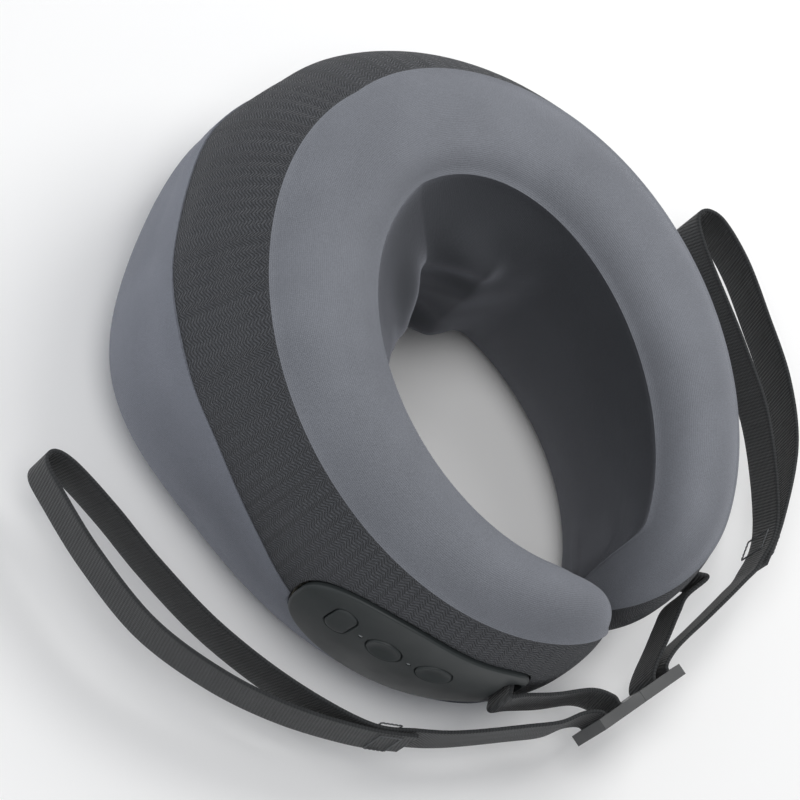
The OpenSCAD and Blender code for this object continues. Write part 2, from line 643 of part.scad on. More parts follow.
front_cover();
side_band();
back_cover();
inner_liner();
foam_arm_left();
foam_arm_right();
nape_foam();
housing_rear();
housing_front();
gearbox_base();
gearbox_cover();
motor_can();
motor_bracket();
motor_shaft();
worm_wheel_left();
worm_wheel_right();
axle_left();
axle_right();
axle_bearings();
kneading_arm_left();
kneading_arm_right();
massage_head_1();
massage_head_2();
massage_head_3();
massage_head_4();
gearbox_screws();
main_board();
battery_cells();
battery_tray();
control_panel();
panel_tray();
power_button();
mode_button();
heat_button();
button_board();
dome_switches();
indicator_lights();
charge_port();
strap_anchor_left();
strap_anchor_right();
strap_left();
strap_right();
hand_loop_left();
hand_loop_right();
loop_stitch_left();
loop_stitch_right();
clasp_left();
clasp_right();
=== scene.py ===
"""Looks of the shiatsu neck massager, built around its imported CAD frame."""
import json
import math

import bpy
import numpy as np
from mathutils import Matrix, Vector


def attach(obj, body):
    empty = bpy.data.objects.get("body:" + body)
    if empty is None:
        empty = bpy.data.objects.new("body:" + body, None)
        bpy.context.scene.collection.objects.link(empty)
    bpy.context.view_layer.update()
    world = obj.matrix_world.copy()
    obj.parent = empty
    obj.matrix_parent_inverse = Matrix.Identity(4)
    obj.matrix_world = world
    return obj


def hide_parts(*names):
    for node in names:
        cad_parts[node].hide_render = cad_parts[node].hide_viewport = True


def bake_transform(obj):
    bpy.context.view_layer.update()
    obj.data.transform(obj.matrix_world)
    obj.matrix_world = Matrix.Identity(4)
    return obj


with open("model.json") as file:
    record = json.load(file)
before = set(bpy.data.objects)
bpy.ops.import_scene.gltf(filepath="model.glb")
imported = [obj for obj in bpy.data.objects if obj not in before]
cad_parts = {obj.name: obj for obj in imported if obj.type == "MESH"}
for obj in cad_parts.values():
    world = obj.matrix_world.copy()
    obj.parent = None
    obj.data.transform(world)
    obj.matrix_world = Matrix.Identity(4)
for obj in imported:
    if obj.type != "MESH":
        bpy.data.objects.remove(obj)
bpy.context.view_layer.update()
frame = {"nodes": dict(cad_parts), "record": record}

nodes = frame["nodes"]
MM = 0.001


# ---- camera ---------------------------------------------------------------------------------
AZIMUTH, ELEVATION, ROLL = (math.radians(a) for a in (-84.09, 61.96, 50.47))
RING_Y = -10.9 * MM                       # the middle of the ring along Y
AIM = Vector((0, RING_Y, 66.5 * MM))      # what the camera's axis is measured from
DISTANCE = 2.324
SIDEWAYS, UPWARDS = -26.5 * MM, 8.9 * MM  # how far the camera stands from that axis


def make_camera():
    cos_e = math.cos(ELEVATION)
    back = Vector((math.sin(AZIMUTH) * cos_e, -math.cos(AZIMUTH) * cos_e, math.sin(ELEVATION)))
    level = Vector((math.cos(AZIMUTH), math.sin(AZIMUTH), 0))
    upright = back.cross(level)
    right = level * math.cos(ROLL) + upright * math.sin(ROLL)
    up = back.cross(right)
    camera = bpy.data.objects.new("camera", bpy.data.cameras.new("camera"))
    camera.data.lens = 230
    camera.data.clip_end = 50
    place = AIM + back * DISTANCE + right * SIDEWAYS + up * UPWARDS
    turn = Matrix((right, up, back)).transposed().to_4x4()
    camera.matrix_world = Matrix.Translation(place) @ turn
    bpy.context.scene.collection.objects.link(camera)
    bpy.context.scene.camera = camera
    return right, up, back


camera_right, camera_up, camera_back = make_camera()


# ---- the limb's surface, as the CAD has it, in metres -----------------------------------------
RING_A, RING_B = 82.8 * MM, 109.2 * MM      # half width and half length of the centreline
TIP_GAP = 3.5                             # degrees from each arm tip to the plane of symmetry
LIMB_NAPE, LIMB_MID, LIMB_TIP = 60 * MM, 69 * MM, 34 * MM
RING_H, RING_SLOPE = 154.5 * MM, 0.16     # height of the front face and its rise to the nape
NAPE_OUT, SHOULDER_OUT = 35 * MM, 23.5 * MM
LOBE_IN = 18 * MM                         # how far the liner stands into the opening over the heads
ARM_ARC = 310 * MM                        # length of one half of the centreline
CAP_START, TIP_END = 0.825, 0.996         # where an arm starts to round off, and where its tip ends
SECTION_N = 2.2                           # roundness of the section
SINK = 7 * MM                             # how much of the section is flattened into the base
SKEW = 4 * MM                             # how far the top leans out
CAP_N = 2.4                               # roundness of the arm tips
EGG = 0.04                                # how much the ring widens to the nape and narrows to the tips
LOW_LEVEL, LOW_CURVE = 0.46, 1.5          # the low part of the outer side, up to this share of the height
NAPE_FLARE, TIP_TUCK = 0.265, 0.32        # how far it flares at the nape and tucks in at the tips
NAPE_SPREAD = 0.24                        # station where the nape's bulge is down to a half
SHOULDER_AT, SHOULDER_SPREAD = 0.28, 0.12   # middle and half length of the shoulder's bulge
SHOULDER_LEVEL = 0.75                     # share of the height where that bulge has faded out
LOBE_END, LOBE_FADE = 0.28, 0.14          # where the lobe over the heads starts to fade, and over what
LOBE_V, LOBE_V_FADE = 24, 34              # the same, in section angle from the inner side
SLOPE_STEP = 0.002                        # half the step that the centreline's direction is taken over


def power(c, p):
    """|c| to the power p, with the sign of c."""
    return np.sign(c) * np.abs(c) ** p


def smooth(x):
    """A soft step, from 0 at x = 0 to 1 at x = 1."""
    c = np.clip(x, 0, 1)
    return c * c * (3 - 2 * c)


def mid(u):
    """x and y of the centreline at station u."""
    a = np.radians(90 + u * (180 - TIP_GAP))
    return RING_A * np.cos(a) * (1 + EGG * np.sin(a)), RING_B * np.sin(a) + RING_Y


def outward(u):
    """The outward direction across the centreline at station u."""
    x0, y0 = mid(u - SLOPE_STEP)
    x1, y1 = mid(u + SLOPE_STEP)
    length = np.hypot(x1 - x0, y1 - y0)
    return (y1 - y0) / length, -(x1 - x0) / length


def skin(u, v, d=0.0):
    """Points of the limb: station u (-1 right tip, 0 nape, 1 left tip), section angle v in
    degrees from the outside over the top, d metres under the surface."""
    u, v = np.broadcast_arrays(np.asarray(u, float), np.asarray(v, float))
    a = np.abs(u)
    mx, my = mid(u)
    nx, ny = outward(u)
    q = np.clip((a - CAP_START) / (TIP_END - d / ARM_ARC - CAP_START), 0, 1)
    cap = (1 - q ** CAP_N) ** (1 / CAP_N)
    half = (RING_H + RING_SLOPE * (my - RING_Y)) / 2
    angle = np.radians(v)
    r = power(np.cos(angle), 2 / SECTION_N)
    s = power(np.sin(angle), 2 / SECTION_N)
    level = (1 + s) / 2
    low = np.clip((LOW_LEVEL - level) / LOW_LEVEL, 0, 1) ** LOW_CURVE
    fade = np.clip((SHOULDER_LEVEL - level) / SHOULDER_LEVEL, 0, 1)
    bulge = (NAPE_OUT / (1 + (a / NAPE_SPREAD) ** 2)
             + SHOULDER_OUT * np.exp(-((a - SHOULDER_AT) / SHOULDER_SPREAD) ** 2) * fade)
    flare = (NAPE_FLARE * (1 - a) - TIP_TUCK * a) * low
    width = LIMB_NAPE * (1 - a) * (1 - 2 * a) + LIMB_MID * 4 * a * (1 - a) + LIMB_TIP * a * (2 * a - 1)
    w = width / 2 - d
    near_inside = 1 - smooth((np.abs(v - 180) - LOBE_V) / LOBE_V_FADE)
    lobe = LOBE_IN * (1 - smooth((a - LOBE_END) / LOBE_FADE)) * near_inside
    reach = np.where(r > 0, r * (w + bulge) * (1 + flare), r * (w + lobe))
    out = reach * cap - SKEW * s * cap * (1 - a)
    z = np.maximum(d, half - SINK / 2 + s * (half + SINK / 2 - d) * cap)
    return np.stack([mx + nx * out, my + ny * out, z], axis=-1)


# Section angles of the seams at the nape, in degrees, and how they run from there to the tips
FRONT_V, FRONT_FALL = 59, 14
LINER_V, LINER_RISE, LINER_CURVE = 116, 22, 1.3
LINER_TURN, LINER_TURN_LENGTH, LINER_DROP = 0.88, 0.08, 100  # the liner's end, where its seam turns down
LINER_FOOT = 250
BACK_V, BACK_CREST, BACK_KNEE = -2, 14, 0.4   # the back seam rises by the crest up to the knee
BACK_FALL, BACK_ROUNDING = 110, 0.006         # and falls past it, with the knee rounded


def seam_front(a):
    """Section angle of the seam between the band and the ring."""
    return FRONT_V - FRONT_FALL * a


def seam_liner(a):
    """Section angle of the seam between the ring and the liner."""
    turn = np.clip((a - LINER_TURN) / LINER_TURN_LENGTH, 0, 1) ** 3
    return LINER_V + LINER_RISE * a ** LINER_CURVE + LINER_DROP * turn


def seam_back(a):
    """Section angle of the seam between the back cover and the band."""
    beyond = a - BACK_KNEE
    past = (beyond + np.sqrt(beyond ** 2 + BACK_ROUNDING)) / 2
    crest = np.sin(np.radians(90 / BACK_KNEE * np.minimum(a, BACK_KNEE)))
    return BACK_V + BACK_CREST * crest - BACK_FALL * past


def zone_edges(a):
    """Section angles of the four seams round the limb, and of the first again."""
    return [seam_front(a), seam_liner(a), LINER_FOOT + 0 * a, 360 + seam_back(a), 360 + seam_front(a)]


def zone_v(zone, f, a):
    """The section angle a share f of the way from a zone's first seam to its next."""
    edges = zone_edges(a)
    return edges[zone] * (1 - f) + edges[zone + 1] * f


ARM_SHARE, TIP_SHARE = 0.8, 0.2   # how much of f is spent before an arm rounds off, and on its tip
TIP_TURN = 0.975                  # how much of the quarter turn round a tip the stations cover


def station(f):
    """Stations along the limb for f from -1 to 1, closer together round the tips."""
    a = np.abs(f)
    turn = np.clip((a - ARM_SHARE) / TIP_SHARE, 0, 1) * math.pi / 2 * TIP_TURN
    tip = CAP_START + (TIP_END - CAP_START) * np.sin(turn)
    return np.sign(f) * np.where(a < ARM_SHARE, a * CAP_START / ARM_SHARE, tip)


# ---- meshes -----------------------------------------------------------------------------------
def new_object(name, points, faces, uv=None, smooth_angle=None):
    mesh = bpy.data.meshes.new(name)
    mesh.from_pydata([tuple(p) for p in points], [], [tuple(f) for f in faces])
    if uv is not None:
        layer = mesh.uv_layers.new(name="cloth")
        flat = np.concatenate([np.asarray(f) for f in faces])
        layer.data.foreach_set("uv", np.asarray(uv)[flat].astype(np.float32).ravel())
    mesh.polygons.foreach_set("use_smooth", [True] * len(mesh.polygons))
    if smooth_angle:
        mesh.set_sharp_from_angle(angle=math.radians(smooth_angle))
    mesh.update()
    obj = bpy.data.objects.new(name, mesh)
    bpy.context.scene.collection.objects.link(obj)
    return obj


def shell(name, outer, inner, uv, smooth_angle=50):
    """A closed plate from two grids of points of the same size."""
    rows, cols = outer.shape[:2]
    count = rows * cols
    index = np.arange(count).reshape(rows, cols)
    a, b, c, d = index[:-1, :-1], index[1:, :-1], index[1:, 1:], index[:-1, 1:]
    quads = np.stack([a, d, c, b], axis=-1).reshape(-1, 4)
    under = quads[:, ::-1] + count
    sides = []
    for line in (index[0, :], index[-1, ::-1], index[::-1, 0], index[:, -1]):
        p, q = line[:-1], line[1:]
        sides.append(np.stack([p, p + count, q + count, q], axis=-1))
    faces = np.concatenate([quads, under] + sides)
    points = np.concatenate([outer.reshape(-1, 3), inner.reshape(-1, 3)])
    both = np.concatenate([uv.reshape(-1, 2)] * 2)
    return new_object(name, points, faces, both, smooth_angle)


def grid_normals(points):
    """Outward normals of a grid whose rows follow u and whose columns follow v."""
    along = np.gradient(points, axis=0)
    around = np.gradient(points, axis=1)
    n = np.cross(around, along)
    length = np.linalg.norm(n, axis=-1, keepdims=True)
    return n / np.maximum(length, 1e-12)


def lengths(points, axis):
    """Distance along a grid's rows or columns from its first point."""
    step = np.linalg.norm(np.diff(points, axis=axis), axis=-1)
    zero = np.zeros_like(np.take(step, [0], axis=axis))
    return np.concatenate([zero, np.cumsum(step, axis=axis)], axis=axis)


def carve(obj, cutter):
    """obj minus cutter, made now, and the cutter deleted."""
    mod = obj.modifiers.new("cut", "BOOLEAN")
    mod.object = cutter
    mod.operation = "DIFFERENCE"
    mod.solver = "EXACT"
    bake(obj)
    bpy.data.objects.remove(cutter)


def bake(obj):
    """Applies the modifiers of obj to its mesh."""
    bpy.context.view_layer.update()
    graph = bpy.context.evaluated_depsgraph_get()
    made = bpy.data.meshes.new_from_object(obj.evaluated_get(graph))
    old = obj.data
    obj.modifiers.clear()
    obj.data = made
    bpy.data.meshes.remove(old)


def finished(obj, material, body="root", replaces=()):
    """Gives a piece its material and body, and lets it stand for its CAD nodes."""
    obj.data.materials.clear()
    obj.data.materials.append(material)
    if body:
        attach(obj, body)
    if replaces:
        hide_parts(*replaces)
    return obj


# ---- materials --------------------------------------------------------------------------------
class Nodes:
    """A short way to write a node tree."""

    def __init__(self, name):
        self.material = bpy.data.materials.new(name)
        self.material.use_nodes = True
        self.tree = self.material.node_tree
        self.shader = self.tree.nodes["Principled BSDF"]

    def set(self, **values):
        for key, value in values.items():
            self.shader.inputs[key.replace("_", " ")].default_value = value

    def node(self, kind, **inputs):
        made = self.tree.nodes.new(kind)
        for key, value in inputs.items():
            self.feed(made.inputs[key.replace("_", " ")], value)
        return made

    def feed(self, socket, value):
        if isinstance(value, bpy.types.NodeSocket):
            self.tree.links.new(value, socket)
        else:
            socket.default_value = value

    def math(self, operation, a, b=0.0, c=0.0):
        made = self.tree.nodes.new("ShaderNodeMath")
        made.operation = operation
        for socket, value in zip(made.inputs, (a, b, c)):
            self.feed(socket, value)
        return made.outputs[0]

    def ramp(self, value, low, high, to_low=0.0, to_high=1.0):
        made = self.node("ShaderNodeMapRange", Value=value)
        keys = ("From Min", "From Max", "To Min", "To Max")
        for key, number in zip(keys, (low, high, to_low, to_high)):
            made.inputs[key].default_value = number
        return made.outputs[0]

    def noise(self, scale, detail=2.0, vector=None):
        made = self.node("ShaderNodeTexNoise", Scale=scale, Detail=detail)
        self.tree.links.new(vector or self.place(), made.inputs["Vector"])
        return made.outputs["Fac"]

    def place(self):
        return self.node("ShaderNodeTexCoord").outputs["Object"]

    def cloth(self):
        """Distances along and across the cloth, in millimetres."""
        pin = self.tree.nodes.new("ShaderNodeUVMap")
        pin.uv_map = "cloth"
        split = self.node("ShaderNodeSeparateXYZ", Vector=pin.outputs["UV"])
        return split.outputs["X"], split.outputs["Y"]

    def mix(self, factor, dark, light):
        made = self.tree.nodes.new("ShaderNodeMix")
        made.data_type = "RGBA"
        self.feed(made.inputs[0], factor)
        for socket, colour in ((made.inputs[6], dark), (made.inputs[7], light)):
            if isinstance(colour, bpy.types.NodeSocket):
                self.tree.links.new(colour, socket)
            else:
                socket.default_value = (*colour, 1)
        return made.outputs[2]

    def colour(self, value):
        self.tree.links.new(value, self.shader.inputs["Base Color"])

    def rough(self, value):
        self.tree.links.new(value, self.shader.inputs["Roughness"])

    def bump(self, height, distance, strength=1.0, below=None):
        made = self.node("ShaderNodeBump", Height=height, Distance=distance, Strength=strength)
        if below is not None:
            self.tree.links.new(below, made.inputs["Normal"])
        self.tree.links.new(made.outputs["Normal"], self.shader.inputs["Normal"])
        return made.outputs["Normal"]

    def wave(self, value, pitch):
        """0 to 1 and back once every pitch."""
        turn = self.math("MULTIPLY", value, 2 * math.pi / pitch)
        return self.math("MULTIPLY_ADD", self.math("SINE", turn), 0.5, 0.5)


def knit(name, dark, light, wale, course, depth, sheen, melange=0.35):
    """A fine weft knit: V stitches in wales along the limb, with a few lighter fibres."""
    n = Nodes(name)
    along, across = n.cloth()
    lean = n.math("PINGPONG", across, wale / 2)
    leaning = n.math("MULTIPLY_ADD", lean, 1.1, along)
    stitch = n.wave(leaning, course)
    rib = n.math("ABSOLUTE", n.math("SINE", n.math("MULTIPLY", across, math.pi / wale)))
    height = n.math("MULTIPLY", n.math("MULTIPLY_ADD", stitch, 0.55, 0.45), n.math("POWER", rib, 0.6))
    specks = n.noise(2600, 3)
    cloudy = n.noise(28, 3)
    fibres = n.math("MULTIPLY", n.ramp(specks, 0.38, 0.62), melange)
    # The stitch height darkens the colour in the dips between stitches: painted shade. The lighter fibres
    # and the cloudy tone are the yarn's own.
    yarn_and_groove_shade = n.math("ADD", fibres, n.math("MULTIPLY", height, 0.45))
    yarn_and_groove_shade = n.math("ADD", yarn_and_groove_shade, n.ramp(cloudy, 0.3, 0.7, -0.1, 0.1))
    n.colour(n.mix(yarn_and_groove_shade, dark, light))
    n.bump(n.noise(900, 2), 0.0003, 0.25, n.bump(height, 0.0002, depth))
    n.set(Roughness=0.92, Sheen_Weight=sheen, Sheen_Roughness=0.45)
    n.shader.inputs["Sheen Tint"].default_value = (0.85, 0.88, 1.0, 1)
    return n.material


def ribbed_knit(name, dark, light):
    """The band's knit: ribs along the limb, broken into short floats that shift from rib to rib."""
    n = Nodes(name)
    along, across = n.cloth()
    pitch = 2.0
    number = n.math("FLOOR", n.math("DIVIDE", across, pitch))
    rib = n.math("SINE", n.math("MULTIPLY", n.math("FRACT", n.math("DIVIDE", across, pitch)), math.pi))
    wander = n.math("MULTIPLY", n.noise(22, 2), 9.0)
    shift = n.math("ADD", n.math("MULTIPLY", number, 1.37), wander)
    floats = n.wave(n.math("ADD", along, shift), 3.4)
    fine = n.wave(n.math("MULTIPLY_ADD", n.math("PINGPONG", across, pitch / 2), 0.8, along), 0.95)
    height = n.math("MULTIPLY", n.math("POWER", rib, 1.4), n.math("MULTIPLY_ADD", floats, 0.4, 0.6))
    height = n.math("MULTIPLY_ADD", fine, 0.16, height)
    specks = n.ramp(n.noise(2400, 2), 0.4, 0.65, 0, 0.2)
    # The rib height darkens the colour in the grooves between the ribs: painted shade. The light specks
    # are the yarn's own.
    n.colour(n.mix(n.math("ADD", n.math("MULTIPLY", height, 0.75), specks), dark, light))
    n.bump(height, 0.0008, 1.0)
    n.set(Roughness=0.9, Sheen_Weight=0.08, Sheen_Roughness=0.4)
    return n.material


def webbing_material(name, dark, light):
    """Woven webbing: cross ribs on a slight slant, with a tight plain edge."""
    n = Nodes(name)
    along, across = n.cloth()
    pick = n.wave(n.math("MULTIPLY_ADD", across, 0.16, along), 1.55)
    warp = n.wave(n.math("MULTIPLY_ADD", n.math("PINGPONG", along, 0.78), 0.5, across), 1.3)
    edge = n.ramp(n.math("ABSOLUTE", across), 12.2, 12.6, 0, 1)
    body = n.math("MULTIPLY_ADD", warp, 0.3, n.math("MULTIPLY", n.math("POWER", pick, 0.7), 0.7))
    woven = n.math("MULTIPLY", body, n.math("MULTIPLY_ADD", edge, -0.4, 1.0))
    height = n.math("MULTIPLY_ADD", edge, 0.25, woven)
    worn = n.ramp(n.noise(60, 4), 0.35, 0.75, -0.05, 0.15)
    # The weave's height darkens the colour between its ribs: painted shade. The worn tone varies at
    # random.
    n.colour(n.mix(n.math("ADD", n.math("MULTIPLY", height, 0.8), worn), dark, light))
    n.bump(n.noise(1800, 2), 0.0002, 0.3, n.bump(height, 0.0005, 0.9))
    n.set(Roughness=0.78, Sheen_Weight=0.15, Sheen_Roughness=0.35)
    return n.material


def moulded(name, dark, light, roughness, grain=1500, depth=0.12, coat=0.0):
    """Moulded plastic or rubber with a fine grain and slightly uneven gloss."""
    n = Nodes(name)
    n.colour(n.mix(n.ramp(n.noise(14, 4), 0.3, 0.7), dark, light))
    n.rough(n.ramp(n.noise(45, 3), 0.3, 0.7, roughness - 0.06, roughness + 0.06))
    n.bump(n.noise(grain, 3), 0.00015, depth)
    n.set(Coat_Weight=coat)
    return n.material


def brushed(name, dark, light, roughness):
    """Turned or brushed steel with fine lines across Z."""
    n = Nodes(name)
    turned = n.node("ShaderNodeMapping", Vector=n.place())
    turned.inputs["Scale"].default_value = (40, 40, 1400)
    lines = n.noise(1.0, 4, turned.outputs[0])
    n.colour(n.mix(lines, dark, light))
    n.rough(n.ramp(lines, 0.3, 0.7, roughness - 0.08, roughness + 0.1))
    n.bump(lines, 0.00008, 0.3)
    n.set(Metallic=1.0)
    return n.material


def foam_material(name):
    """Open-cell foam."""
    n = Nodes(name)
    cells = n.node("ShaderNodeTexVoronoi", Vector=n.place(), Scale=700.0).outputs["Distance"]
    # The pits of the cells are coloured darker than the walls between them: painted shade in the pores.
    n.colour(n.mix(n.ramp(cells, 0.1, 0.7), (0.40, 0.37, 0.30), (0.78, 0.74, 0.64)))
    n.bump(cells, 0.0006, 0.7)
    n.set(Roughness=0.95)
    return n.material


def board_material(name):
    """Green solder mask over copper tracks."""
    n = Nodes(name)
    tracks = n.node("ShaderNodeTexBrick", Vector=n.place(), Scale=260.0)
    tracks.inputs["Color1"].default_value = (0.010, 0.13, 0.06, 1)
    tracks.inputs["Color2"].default_value = (0.012, 0.16, 0.075, 1)
    tracks.inputs["Mortar"].default_value = (0.03, 0.24, 0.11, 1)
    n.colour(tracks.outputs["Color"])
    n.bump(tracks.outputs["Fac"], 0.0001, 0.4)
    n.set(Roughness=0.35, Coat_Weight=0.3)
    return n.material


def clear_material(name):
    """A moulded light pipe."""
    n = Nodes(name)
    n.colour(n.mix(n.noise(300, 2), (0.75, 0.80, 0.82), (0.9, 0.94, 0.95)))
    n.set(Roughness=0.2, Transmission_Weight=0.6, IOR=1.49)
    return n.material


MATERIALS = {
    "ring_knit": knit("ring_knit", (0.110, 0.116, 0.132), (0.235, 0.248, 0.280),
                      wale=0.85, course=0.7, depth=0.55, sheen=0.2),
    "back_knit": knit("back_knit", (0.112, 0.120, 0.142), (0.240, 0.255, 0.300),
                      wale=0.85, course=0.7, depth=0.55, sheen=0.2),
    "liner_knit": knit("liner_knit", (0.015, 0.017, 0.020), (0.044, 0.047, 0.056),
                       wale=0.6, course=0.5, depth=0.4, sheen=0.36, melange=0.25),
    "band_knit": ribbed_knit("band_knit", (0.012, 0.013, 0.015), (0.096, 0.101, 0.114)),
    "foam": foam_material("foam"),
    "black_plastic": moulded("black_plastic", (0.020, 0.021, 0.023), (0.032, 0.034, 0.037), 0.5),
    "case_plastic": moulded("case_plastic", (0.07, 0.078, 0.088), (0.10, 0.11, 0.12), 0.5),
    "zinc_steel": brushed("zinc_steel", (0.40, 0.41, 0.43), (0.62, 0.63, 0.65), 0.38),
    "bright_steel": brushed("bright_steel", (0.50, 0.51, 0.52), (0.74, 0.75, 0.76), 0.25),
    "gear_plastic": moulded("gear_plastic", (0.70, 0.67, 0.57), (0.80, 0.77, 0.68), 0.42),
    "bronze": brushed("bronze", (0.42, 0.26, 0.11), (0.62, 0.42, 0.20), 0.4),
    "head_plastic": moulded("head_plastic", (0.22, 0.235, 0.26), (0.30, 0.32, 0.35), 0.38),
    "board": board_material("board"),
    "cell_wrap": moulded("cell_wrap", (0.04, 0.13, 0.34), (0.07, 0.19, 0.44), 0.25, coat=0.4),
    "panel_plastic": moulded("panel_plastic", (0.021, 0.0255, 0.0262), (0.030, 0.036, 0.037),
                             0.50, grain=2200, depth=0.18),
    "button_rubber": moulded("button_rubber", (0.023, 0.028, 0.029), (0.033, 0.039, 0.040),
                             0.55, grain=2600, depth=0.2),
    "light_pipe": clear_material("light_pipe"),
    "webbing": webbing_material("webbing", (0.006, 0.007, 0.008), (0.042, 0.045, 0.048)),
    "thread": moulded("thread", (0.05, 0.054, 0.058), (0.10, 0.106, 0.112),
                      0.7, grain=4000, depth=0.5),
    "clasp_plastic": moulded("clasp_plastic", (0.019, 0.021, 0.023), (0.030, 0.033, 0.036),
                             0.36, grain=1800, depth=0.15),
}


# ---- the covers -------------------------------------------------------------------------------
SUNK = 1.2 * MM             # how far the seams are drawn under the CAD surface
CROWN = 1.6 * MM            # how far the padding swells between them
ZONE_COLS = {0: 34, 1: 70, 2: 70, 3: 46}
ROWS = 380
FABRIC = 1.6 * MM           # thickness of a cover
COARSE_ROWS, COARSE_COLS = 120, {0: 10, 1: 22, 2: 22, 3: 14}
SWELL_FRAMES = 16
SWELL_END = 0.965          # the simulated cover stops short of the tips
SEAM_DEPTH, SEAM_WIDTH = 0.9 * MM, 1.5 * MM     # the groove along a seam
TUCK_V, TUCK_DEPTH = 2.2, 0.7 * MM              # how far the back runs under the band
INNER_RISE = 6 * MM         # how far a cover's inside follows its outside


def coarse_ring():
    """Zone and fraction of the columns of the whole limb's coarse mesh."""
    return [(zone, k / n) for zone, n in COARSE_COLS.items() for k in range(n)]


def swollen_padding():
    """The padding swells under pressure between its sewn seams. Returns places along the limb,
    columns round it and the swell at each."""
    columns = coarse_ring()
    f = np.linspace(-SWELL_END, SWELL_END, COARSE_ROWS)
    u = station(f)
    v = np.stack([zone_v(zone, part, np.abs(u)) for zone, part in columns], axis=1)
    start = skin(u[:, None], v, SUNK)
    rows, cols = start.shape[:2]
    index = np.arange(rows * cols).reshape(rows, cols)
    a, b = index[:-1], index[1:]
    quads = np.stack([a, np.roll(a, -1, 1), np.roll(b, -1, 1), b], axis=-1).reshape(-1, 4)
    cover = new_object("padding_cloth", start.reshape(-1, 3), quads)
    sewn = {i for i, (zone, part) in enumerate(columns) if part == 0 and zone < 3}
    ends = (0, rows - 1)
    held = [int(k) for i in range(rows) for j, k in enumerate(index[i]) if j in sewn or i in ends]
    cover.vertex_groups.new(name="sewn").add(held, 1.0, "REPLACE")
    cloth = cover.modifiers.new("cloth", "CLOTH")
    cloth.settings.vertex_group_mass = "sewn"
    cloth.settings.effector_weights.gravity = 0
    cloth.settings.use_pressure = True
    cloth.settings.uniform_pressure_force = 4
    cloth.settings.quality = 5
    cloth.settings.mass = 0.3
    cloth.settings.tension_stiffness = 15
    cloth.settings.compression_stiffness = 15
    cloth.settings.shear_stiffness = 5
    cloth.settings.bending_stiffness = 3
    cloth.point_cache.frame_start, cloth.point_cache.frame_end = 1, SWELL_FRAMES
    scene = bpy.context.scene
    for number in range(1, SWELL_FRAMES + 1):
        scene.frame_set(number)
    graph = bpy.context.evaluated_depsgraph_get()
    swollen = cover.evaluated_get(graph).data
    end = np.empty(rows * cols * 3, np.float32)
    swollen.vertices.foreach_get("co", end)
    scene.frame_set(1)
    bpy.data.objects.remove(cover)
    moved = end.reshape(rows, cols, 3) - start
    ring = np.concatenate([start[:, -1:], start, start[:, :1]], axis=1)
    rise = np.sum(moved * grid_normals(ring)[:, 1:-1], axis=-1)
    rise = CROWN * np.tanh(np.maximum(rise, 0) / CROWN)
    for _ in range(2):
        rise[1:-1] = (rise[:-2] + 2 * rise[1:-1] + rise[2:]) / 4
    return f, columns, rise


swell = swollen_padding()


def swell_at(zone, f, part):
    """The swell on a fine grid of one zone."""
    rows_f, columns, rise = swell
    picked = [i for i, (z, _) in enumerate(columns) if z == zone]
    edge = (picked[-1] + 1) % len(columns)
    values = rise[:, picked + [edge]]
    marks = [columns[i][1] for i in picked] + [1.0]
    across = np.stack([np.interp(part, marks, row) for row in values])
    along = np.stack([np.interp(f, rows_f, column, left=0, right=0) for column in across.T], axis=1)
    faded = 1 - smooth((np.abs(f) - 0.9) / 0.08)
    return along * faded[:, None]


AXLE_TILT = math.radians(33)
AXLES_Y = 37.5 * MM + RING_Y
KNEAD_Z = 80 * MM
HEAD_L, HEAD_ORBIT = 40 * MM, 15 * MM


def head_lines():
    """Centre and axle direction of each massage head."""
    s, c = math.sin(AXLE_TILT), math.cos(AXLE_TILT)
    lines = []
    for side, offset in ((-1, (c, s, 0)), (-1, (-c, -s, 0)), (1, (0, 0, -1)), (1, (0, 0, 1))):
        axis = np.array([side * s, c, 0])
        centre = np.array([0, AXLES_Y, KNEAD_Z]) + axis * HEAD_L + np.array(offset) * HEAD_ORBIT
        lines.append((centre, axis))
    return lines


def dent(points, centre, spread, height):
    """A soft bump or hollow; spread is how wide it is along X and along Z."""
    x = (points[..., 0] - centre[0]) / spread[0]
    z = (points[..., 2] - centre[1]) / spread[1]
    return height * np.exp(-x * x - z * z)


HEAD_PUSH, HEAD_PRINT = 2 * MM, 13 * MM   # how far a head pushes the liner, and the print's radius
NAPE_START, NAPE_FADE = 6 * MM, 22 * MM   # where along Y the prints begin and how they fade in
# Hollows and ridges between the heads: place along X and Z, width along X and Z, and height, in mm.
DENTS = [((17, 127), (11, 10), -4.5), ((31, 122), (8, 13), 2.5), ((15, 109), (16, 7), 2),
         ((19, 46), (15, 10), -4)]


def pushed_out(points):
    """How far the heads push the liner into the neck opening, and the hollows between them."""
    rise = np.zeros(points.shape[:-1])
    for centre, axis in head_lines():
        off = points - centre
        off = off - np.sum(off * axis, axis=-1, keepdims=True) * axis
        r = np.linalg.norm(off, axis=-1)
        rise = np.maximum(rise, HEAD_PUSH * np.exp(-(r / HEAD_PRINT) ** 2.6))
    for side in (-1, 1):
        for (x, z), (wide, high), height in DENTS:
            rise += dent(points, (side * x * MM, z * MM), (wide * MM, high * MM), height * MM)
    near = smooth((points[..., 1] - NAPE_START) / NAPE_FADE)
    return rise * near


